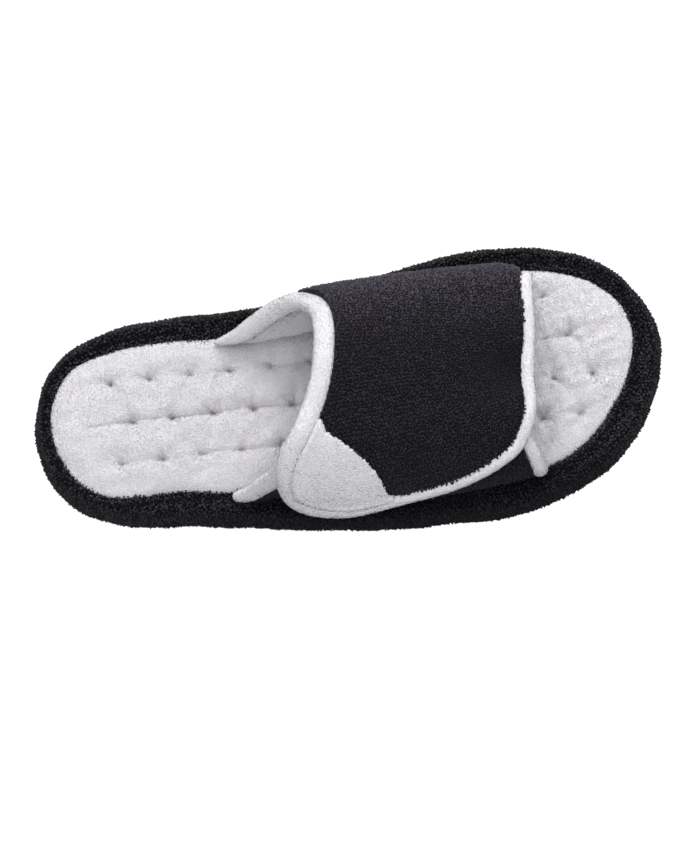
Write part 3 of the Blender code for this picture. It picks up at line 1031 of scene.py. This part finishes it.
@dataclass
class Footbed:
    """The quilted insole: straight rows of tacks at a pitch, and tacks listed at the toe.

    Pinch, hollow, the painted shade in the pinch, the painted shade along the walls, lump and wander are each
    given by their strength and their width. The painted shade on the far side of the hollow has its distance
    from the tack as well, fluff its shade, and wrinkles are given by count, width and length. Creases and
    wrinkles take painted shade.
    The toe crease is given by its start, its end and where it lies across the shoe.
    """

    rows: tuple[QuiltRow, ...] = (
        QuiltRow(39.6, -97.9, 0.1, -60.0, 0.2),
        QuiltRow(22.1, -97.9, 0.25, -70.0, 0.3),
        QuiltRow(4.7, -90.9, 0.9, -110.0, 0.5),
        QuiltRow(-12.1, -97.9, 0.5, -74.0, 0.35),
    )
    toe_tacks: tuple[Pair, ...] = (
        (86.0, 31.1),
        (94.1, 13.2),
        (84.6, -4.0),
        (100.8, -5.2),
        (77.3, -20.4),
        (93.6, -20.8),
    )
    toe_crease: Size3 = (78.0, 94.1, 12.8)
    heel_end: float = -97.9
    slant: float = -0.041
    pitch: float = 16.8
    wander: Pair = (0.4, 7.0)
    toe: float = 72.0
    pinch: Pair = (1.5, 1.5)
    hollow: Pair = (1.1, 4.4)
    trough_width: float = 2.4
    puckers: tuple[tuple[float, int], ...] = ((0.35, 5), (0.2, 3))
    crease_reach: float = 0.6
    crease_fade: Pair = (4.0, 20.0)
    # How much painted shade a crease takes for its depth.
    crease_painted_shade: float = 0.35
    toe_crease_fade: float = 3.0
    wrinkles: tuple[int, float, float] = (4, 0.7, 3.2)
    wrinkle_depth: float = 0.5
    # How much painted shade a wrinkle takes for its depth.
    wrinkle_painted_shade: float = 0.3
    swell: float = 0.75
    # Painted shade in each tack's pinch: its strength and its width.
    pinch_painted_shade: Pair = (0.4, 1.2)
    # Painted shade on the far side of each tack's hollow, with how it scatters and how strong it is at
    # random.
    hollow_painted_shade: Size3 = (0.3, 4.0, 3.5)
    hollow_painted_shade_scatter: float = 2.0
    hollow_painted_shade_share: Pair = (0.2, 1.0)
    firmness: Pair = (0.6, 1.1)
    edges: tuple[Dent, ...] = (
        Dent((-60.0, -33.5), 12.0, (0.0, -1.6, 0.6)),
        Dent((-118.0, 21.0), 9.0, (0.9, -0.7, 0.0)),
        Dent((-118.6, -18.3), 9.0, (-0.5, -0.5, 0.2)),
    )
    # Painted shade where the insole meets the walls: its strength and its width.
    seam: Pair = (0.9, 3.5)
    lump: Pair = (0.35, 13.0)
    fluff: Size3 = (0.3, 5.0, 0.12)
    fluff_fade: float = 10.0
    plumpness: float = 0.3
    border: float = 8.0
    rim_facing: Pair = (0.1, 0.6)
    top_facing: float = 0.8
    levels: int = 3
    settle: int = 8
    fill: float = 0.5
    pile: Pile = FOOTBED_FLEECE

    def tacks(self) -> list[Pair]:
        """Finds where the tacks are.

        Returns:
            Their places: rows at the pitch up to the toe, then those listed.
        """
        found = []
        for row in self.rows:
            for along in np.arange(row.first, self.toe, self.pitch):
                found.append((along, row.across + self.slant * (along - self.heel_end)))
        return found + list(self.toe_tacks)

    def build(self) -> list[Piece]:
        """Makes the insole and its pile.

        Returns:
            The insole and its pile.
        """
        insole = copy_node("insole", "footbed")
        with editing(insole):
            bpy.ops.transform.shrink_fatten(value=self.swell * MM)
        with editing(insole, normals_of(insole)[:, 2] > self.top_facing):
            bpy.ops.mesh.vertices_smooth(factor=SMOOTHING, repeat=self.settle)
        subdivide_smooth(insole, self.levels)
        self._quilt(insole)
        tufts = self.pile.grow(insole, [frame["nodes"]["midsole_rim"]])
        return [dress(insole, PALE, "insole"), dress(tufts, PALE)]

    def _quilt(self, insole: Piece) -> None:
        """Draws the top of the insole down at its tacks and along its rows, and marks its darker places:
        painted shade in its creases, at its tacks and along the walls, and the fluff's darker tone.

        Args:
            insole: The smooth insole.
        """
        places, upward = places_of(insole), normals_of(insole)[:, 2]
        low, high = self.rim_facing
        edge = point_tree(places[(upward > low) & (upward < high)])
        inside = np.array([edge.find(place)[2] for place in places])
        inside = ease(0, self.border, inside) * ease(high, self.top_facing, upward)
        along, across = places[:, 0], places[:, 1]
        seed = self.pile.seed
        depth = self.lump[0] * waviness(places, self.lump[1], seed)
        height, wave, fade = self.fluff
        at_toe = ease(self.toe - self.fluff_fade, self.toe + self.fluff_fade, along)
        puffs = waviness(places, wave, seed + 1) * at_toe
        depth += height * puffs
        tone = 1 - fade * np.maximum(puffs, 0)
        chance = np.random.default_rng(seed)
        sway, length = self.wander
        start_fade, end_fade = self.crease_fade
        for row in self.rows:
            aside = across - row.across - self.slant * (along - self.heel_end)
            aside = aside + sway * np.sin(along / length + row.across)
            sewn = ease(row.first - self.pitch, row.first, along)
            depth += row.trough * np.exp(-((aside / self.trough_width) ** 2)) * sewn
            drawn = ease(row.crease_from - start_fade, row.crease_from + start_fade, along)
            drawn = drawn * ease(self.toe, self.toe - end_fade, along)
            fold = row.crease * np.exp(-np.abs(aside) / self.crease_reach) * drawn
            depth += fold
            # Painted shade along the crease.
            tone -= self.crease_painted_shade * fold
        start, stop, level = self.toe_crease
        line_fade = self.toe_crease_fade
        line = np.exp(-np.abs(across - level) / self.crease_reach) * ease(start - line_fade, start, along)
        line *= ease(stop, stop - line_fade, along)
        depth += line
        # Painted shade along the toe crease.
        tone -= self.crease_painted_shade * line
        for tack in self.tacks():
            self._draw_down(tack, chance, (along, across), depth, tone)
        places[:, 2] += (self.plumpness - depth) * inside
        move_to(insole, places)
        # Painted shade where the insole meets the walls.
        gap = gaps_to(places, [frame["nodes"][node] for node in ("upper_strap", "upper_flap")])
        tone -= self.seam[0] * np.exp(-((gap / self.seam[1]) ** 2))
        set_tones(insole, np.clip(tone, 0, 1))
        press_all(self.edges, insole)

    def _draw_down(
        self,
        tack: Pair,
        chance: np.random.Generator,
        ground: tuple[np.ndarray, np.ndarray],
        depth: np.ndarray,
        tone: np.ndarray,
    ) -> None:
        """Adds one tack to the insole's relief: a pinch in a soft hollow, with wrinkles, and painted shade in
        the pinch, in the wrinkles and on the far side of the hollow.

        Args:
            tack: Where it is.
            chance: The source of chance.
            ground: How far along and across the shoe each point of the insole lies.
            depth: How far each point is drawn down, which is added to.
            tone: How clear the yarn's tone is at each point, which is taken from.
        """
        pull = chance.uniform(*self.firmness)
        ahead, aside = ground[0] - tack[0], ground[1] - tack[1]
        reach, turn = np.hypot(ahead, aside), np.arctan2(aside, ahead)
        start = chance.uniform(0, FULL_TURN)
        pucker = np.ones_like(turn)
        for number, (size, waves) in enumerate(self.puckers, 1):
            pucker += size * np.cos(waves * turn + number * start)
        depth += pull * self.pinch[0] * np.exp(-((reach / self.pinch[1]) ** 2))
        depth += pull * self.hollow[0] * np.exp(-((reach / self.hollow[1] / pucker) ** 2))
        # Painted shade in the pinch.
        tone -= pull * self.pinch_painted_shade[0] * np.exp(-((reach / self.pinch_painted_shade[1]) ** 2))
        # Painted shade on the far side of the hollow.
        darkening, size, away = self.hollow_painted_shade
        painted_shade_reach = np.hypot(ahead - chance.normal(scale=self.hollow_painted_shade_scatter), aside - away) / size / pucker
        tone -= chance.uniform(*self.hollow_painted_shade_share) * darkening * np.exp(-(painted_shade_reach**2))
        count, narrow, length = self.wrinkles
        for way in chance.uniform(0, FULL_TURN, count):
            onward = ahead * math.cos(way) + aside * math.sin(way)
            off = ahead * math.sin(way) - aside * math.cos(way)
            fold = pull * np.exp(-((off / narrow) ** 2) - np.abs(onward) / length) * (onward > 0)
            depth += self.wrinkle_depth * fold
            # Painted shade along the wrinkle.
            tone -= self.wrinkle_painted_shade * fold


@dataclass
class Wall:
    """A padded wall of the upper: black terry outside, pale lining inside.

    Across the span of painted light, from the outer to the inner side, the pile's tone goes from the first of
    its
    painted light tones to the second: painted shade on the outer side and a painted highlight on the inner
    side.
    The foot is the height under which an open edge is drawn down, and how far.
    """

    node: str
    name: str
    covers: tuple[str, ...]
    seed: int
    dents: tuple[Dent, ...] = ()
    cloth: TerryFinish = BLACK
    # The span across the wall and the tones at its ends: painted shade on the outer side, a painted highlight
    # on the inner side.
    painted_light_span: Pair = (8.0, 46.0)
    painted_light_tones: Pair = (0.36, 1.35)
    levels: int = 2
    padding: float = 2.2
    foot_facing: float = -0.86
    foot: Pair = (30.0, 2.5)
    lining: float = 0.8
    fill: float = 0.5
    pile: Pile = TERRY
    fleece: Pile = LINING_FLEECE

    def build(self) -> list[Piece]:
        """Makes the wall's face and lining with their pile.

        Returns:
            The face, its pile, the lining and its pile.
        """
        sheets = split_wall(copy_node(self.node, self.name))
        face, lining = sheets[Sheet.FACE], sheets[Sheet.LINING]
        lining.name = lining.data.name = f"{self.name}_lining"
        face.name = face.data.name = self.name
        for sheet in (face, lining):
            subdivide_smooth(sheet, self.levels)
            press_all(self.dents, sheet)
        self._root(face)
        covers = [piece_named(cover) for cover in self.covers]
        loops = replace(self.pile, seed=self.seed).grow(face, covers, self._pile_shade)
        fleece = replace(self.fleece, seed=self.seed + 1)
        tufts = fleece.grow(lining, covers + [frame["nodes"]["insole"]])
        apply_modifier(face, "SOLIDIFY", thickness=self.padding * MM, offset=-1.0)
        apply_modifier(lining, "SOLIDIFY", thickness=self.lining * MM, offset=-1.0)
        black = [dress(face, self.cloth, self.node), dress(loops, self.cloth)]
        # The lining takes the lighter copy of the pale cloth: painted light.
        return black + [dress(lining, PALE_PAINTED_LIGHT), dress(tufts, PALE_PAINTED_LIGHT)]

    def _root(self, face: Piece) -> None:
        """Roots the face in the sole: takes off its underside and draws its lower edge down.

        Args:
            face: The sheet that faces out.
        """
        with editing(face, normals_of(face)[:, 2] < self.foot_facing):
            bpy.ops.mesh.delete(type="VERT")
        with editing(face):
            bpy.ops.mesh.select_all(action="DESELECT")
            bpy.ops.mesh.select_non_manifold(extend=False)
        edge = np.empty(len(face.data.vertices), bool)
        face.data.vertices.foreach_get("select", edge)
        places = places_of(face)
        height, drop = self.foot
        places[edge & (places[:, 2] < height), 2] -= drop
        move_to(face, places)

    def _pile_shade(self, places: np.ndarray) -> np.ndarray:
        """Finds how light the pile's tone is painted: a painted highlight towards the inner side, painted
        shade on the outer side and in a dent.

        Args:
            places: Points on the wall in millimetres.

        Returns:
            How full the yarn's tone is there.
        """
        low, high = self.painted_light_tones
        # Painted light across the wall: darker on the outer side, lighter on the inner side.
        fullness_and_painted_light = low + (high - low) * ease(*self.painted_light_span, places[:, 1])
        # Painted shade in each dent.
        for dent in self.dents:
            fullness_and_painted_light *= 1 - dent.shade * dent.share(places)
        return fullness_and_painted_light


@dataclass
class Trim:
    """A pale terry piece of the upper's edge: a binding or the corner patch."""

    node: str
    name: str
    covers: tuple[str, ...]
    seed: int
    swell: float = 0.2
    levels: int = 2
    fill: float = 0.6
    fleece: Pile = FLEECE

    def build(self) -> list[Piece]:
        """Makes the trim and its pile.

        Returns:
            The trim and its pile.
        """
        trim = copy_node(self.node, self.name)
        with editing(trim):
            bpy.ops.transform.shrink_fatten(value=self.swell * MM)
        self._shape(trim)
        subdivide_smooth(trim, self.levels)
        self._seat(trim)
        covers = [frame["nodes"][cover] for cover in self.covers]
        tufts = replace(self.fleece, seed=self.seed).grow(trim, covers)
        # The trim takes the lighter copy of the pale cloth: painted light.
        return [dress(trim, PALE_PAINTED_LIGHT, self.node), dress(tufts, PALE_PAINTED_LIGHT)]

    def _shape(self, trim: Piece) -> None:
        """Leaves the trim as it is: a plain trim has no shaping of its own."""

    def _seat(self, trim: Piece) -> None:
        """Leaves the rounded trim as it is: a plain trim lies as it was made."""


@dataclass
class Patch(Trim):
    """The pale corner of the strap, cut to meet the binding round it.

    The lap is given by its rise and its reach, and the ragged edge by its depth and its wave.
    """

    dents: tuple[Dent, ...] = ()
    swell: float = 0.15
    crease: float = 0.8
    lap: Pair = (1.2, 2.0)
    ragged: Pair = (0.55, 1.9)

    def _shape(self, trim: Piece) -> None:
        """Creases the cut edge, so that it stays where it is when the patch is rounded.

        Args:
            trim: The patch, before it is rounded.
        """
        with editing(trim):
            select_square_edges()
            bpy.ops.transform.edge_crease(value=self.crease)

    def _seat(self, trim: Piece) -> None:
        """Raises the patch beside the binding, so that they meet in a shallow seam, and frays its other edge.

        Args:
            trim: The rounded patch.
        """
        rise, reach = self.lap
        depth, wave = self.ragged
        places, facing = places_of(trim), normals_of(trim)
        gap = gaps_to(places, [frame["nodes"]["strap_binding"]])
        wall = cover_tree([frame["nodes"]["upper_strap"]])
        under = np.array([wall.find_nearest(Vector(place * MM))[1] for place in places])
        at_edge = (1 - np.abs((facing * under).sum(axis=1))) * ease(reach, 2 * reach, gap)
        change = rise * np.exp(-((gap / reach) ** 2)) + depth * at_edge * waviness(places, wave, self.seed)
        move_to(trim, places + facing * change[:, None])
        press_all(self.dents, trim)


@dataclass
class StrapBinding(Trim):
    """The binding round the strap: a fat roll at the collar that thins to a cord, tucked in at the sole."""

    dents: tuple[Dent, ...] = ()
    collar: Pair = (16.0, 4.0)
    far_side: Pair = (-14.0, 10.0)
    collar_swell: float = 0.05
    limb: Pair = (18.0, 30.0)
    limb_swell: float = 1.8
    root: Pair = (-50.0, -37.0)
    root_tip: Pair = (32.5, 26.5)
    root_size: float = 0.42
    root_reach: float = 3.4
    tuck_from: Size3 = (66.0, 36.0, 54.0)
    tuck_over: float = 10.0
    tuck: float = 0.3

    def _shape(self, trim: Piece) -> None:
        """Fattens the collar's roll, points its root and tucks the toe end into the seam of the sole.

        Args:
            trim: The binding, before it is rounded.
        """
        places, facing = places_of(trim), normals_of(trim)
        roll = ease(*self.collar, places[:, 0]) * ease(*self.far_side, places[:, 1])
        inner = ease(*self.limb, places[:, 1]) * np.maximum(-facing[:, 1], 0) * roll
        places += facing * roll[:, None] * self.collar_swell
        places[:, 1] -= inner * self.limb_swell
        grown = ease(*self.root, places[:, 0])
        size = self.root_size + (1 - self.root_size) * grown
        places[:, 0] -= self.root_reach * (1 - grown)
        for axis, middle in zip((1, 2), self.root_tip):
            places[:, axis] = middle + (places[:, axis] - middle) * size
        move_to(trim, places)
        press_all(self.dents, trim)
        places = places_of(trim)
        along, side, top = self.tuck_from
        beyond = np.maximum(places[:, 1] - side, 0) * (places[:, 0] > along)
        places[:, 1] -= beyond * (1 - self.tuck) * ease(top, top - self.tuck_over, places[:, 2])
        move_to(trim, places)


# The studio


@dataclass(frozen=True)
class Lamp:
    """A square soft light: its place and size in metres, and its power in watts."""

    place: Size3
    size: float
    power: float


@dataclass
class Studio:
    """The photo's camera, a white floor and soft light from above and the far side.

    The floor's size is in metres.
    """

    azimuth: float = -9.2
    elevation: float = 77.0
    distance: float = 1600.0
    image: tuple[int, int] = (700, 855)
    pixels_per_mm: float = 2.41
    seen: Size3 = (-0.05, -1.44, 25.0)
    seen_pixel: Pair = (351.2, 402.5)
    sensor: float = 36.0
    floor_size: float = 20.0
    floor_tone: float = 0.25
    surround: float = 0.36
    lamps: tuple[Lamp, ...] = (
        Lamp((0.1, 1.5, 1.0), 1.0, 22.0),
        Lamp((0.0, 0.0, 1.9), 1.6, 13.0),
        Lamp((-0.8, -1.1, 1.0), 1.2, 6.0),
        Lamp((1.3, -0.2, 0.9), 1.0, 5.5),
    )

    def build(self) -> None:
        """Sets up the camera, the floor and the lights."""
        bpy.context.scene.view_settings.view_transform = "Standard"
        self._camera()
        self._floor()
        self._lights()

    def _camera(self) -> None:
        """Stands the camera where the photo was taken from."""
        turn, rise = math.radians(self.azimuth), math.radians(self.elevation)
        back = Vector((math.sin(turn) * math.cos(rise), -math.cos(turn) * math.cos(rise), math.sin(rise)))
        right = Vector((math.cos(turn), math.sin(turn), 0))
        up = back.cross(right)
        wide, high = self.image
        aside = (self.seen_pixel[0] - wide / 2) / self.pixels_per_mm
        above = (high / 2 - self.seen_pixel[1]) / self.pixels_per_mm
        aim = (Vector(self.seen) - right * aside - up * above) * MM
        bpy.ops.object.camera_add(location=aim + back * self.distance * MM)
        camera = bpy.context.active_object
        camera.rotation_mode = "QUATERNION"
        camera.rotation_quaternion = back.to_track_quat("Z", "Y")
        camera.data.sensor_width = self.sensor
        camera.data.lens = self.pixels_per_mm * self.distance / max(self.image) * self.sensor
        bpy.context.scene.camera = camera

    def _floor(self) -> None:
        """Lays a plain white floor, whose glow meets the eye and leaves the slipper's sides dark."""
        only()
        bpy.ops.mesh.primitive_plane_add(size=self.floor_size)
        floor = bpy.context.active_object
        floor.name = "floor"
        material, tree, shader = start_material("white_floor")
        shader.inputs["Base Color"].default_value = (*[self.floor_tone] * 3, 1.0)
        shader.inputs["Roughness"].default_value = 1.0
        shader.inputs["Emission Color"].default_value = (1.0, 1.0, 1.0, 1.0)
        seen = add_node(tree, "LightPath")
        link_chain(tree, (seen.outputs["Is Camera Ray"], shader.inputs["Emission Strength"]))
        floor.data.materials.append(material)

    def _lights(self) -> None:
        """Hangs the soft lights and sets the room's even light."""
        for lamp in self.lamps:
            bpy.ops.object.light_add(type="AREA", location=lamp.place)
            light = bpy.context.active_object
            light.data.size = lamp.size
            light.data.energy = lamp.power
            light.rotation_mode = "QUATERNION"
            light.rotation_quaternion = Vector(lamp.place).to_track_quat("Z", "Y")
        world = bpy.data.worlds.new("studio")
        world.use_nodes = True
        background = world.node_tree.nodes["Background"]
        background.inputs["Color"].default_value = (1.0, 1.0, 1.0, 1.0)
        background.inputs["Strength"].default_value = self.surround
        bpy.context.scene.world = world


def main() -> None:
    """Builds the slipper piece by piece, then the studio."""
    logging.basicConfig(level=logging.INFO, format="%(name)s %(message)s")
    corner = Dent((80.0, 46.0), 6.5, (0.0, -3.6, 0.0))
    # The strap's hollow carries painted shade in its pile.
    hollow = Dent((64.0, -4.5), 9.5, (0.0, 0.0, -2.6), 0.85)
    shoulder = Dent((4.0, 47.0), 20.0, (0.0, -0.8, 0.0))
    crown = Dent((-10.0, 38.0), 14.0, (0.0, -2.7, -0.8))
    tip = Dent((-26.0, -49.0), 8.0, (-0.8, -0.7, 0.0))
    belly = Dent((0.0, -55.0), 14.0, (0.0, 1.4, 0.0))
    seam = Dent((-7.0, -27.0), 7.0, (0.6, 0.6, 0.2))
    fold = Dent((-27.5, -44.7), 4.0, (-0.7, -0.6, 0.2))
    end = Dent((46.0, -45.0), 16.0, (-0.2, 0.7, 0.4))
    toe = Dent((77.5, 27.0), 14.0, (-1.0, 0.0, 0.4))
    under_strap = ("upper_strap", "upper_flap")
    Patch("corner_patch", "patch", (), seed=41, dents=(seam, tip, belly, fold)).build()
    edge = (corner, crown, tip, belly, end, toe)
    StrapBinding("strap_binding", "edge_binding", under_strap, seed=43, swell=0.6, dents=edge).build()
    beside_flap = ("upper_strap", "strap_binding", "insole")
    Trim("flap_collar_binding", "flap_collar_edge", beside_flap, seed=47, swell=0.6).build()
    Trim("flap_toe_binding", "flap_toe_edge", beside_flap, seed=53).build()
    folds = (corner, hollow, shoulder, tip, belly)
    Wall("upper_strap", "strap", ("patch", "edge_binding"), seed=31, dents=folds).build()
    over_flap = ("upper_strap", "edge_binding", "midsole_rim", "flap_collar_edge", "flap_toe_edge")
    Wall("upper_flap", "flap", over_flap, seed=37, cloth=SHADED).build()
    Footbed().build()
    SoleUnit().build()
    Studio().build()


if __name__ == "__main__":
    main()
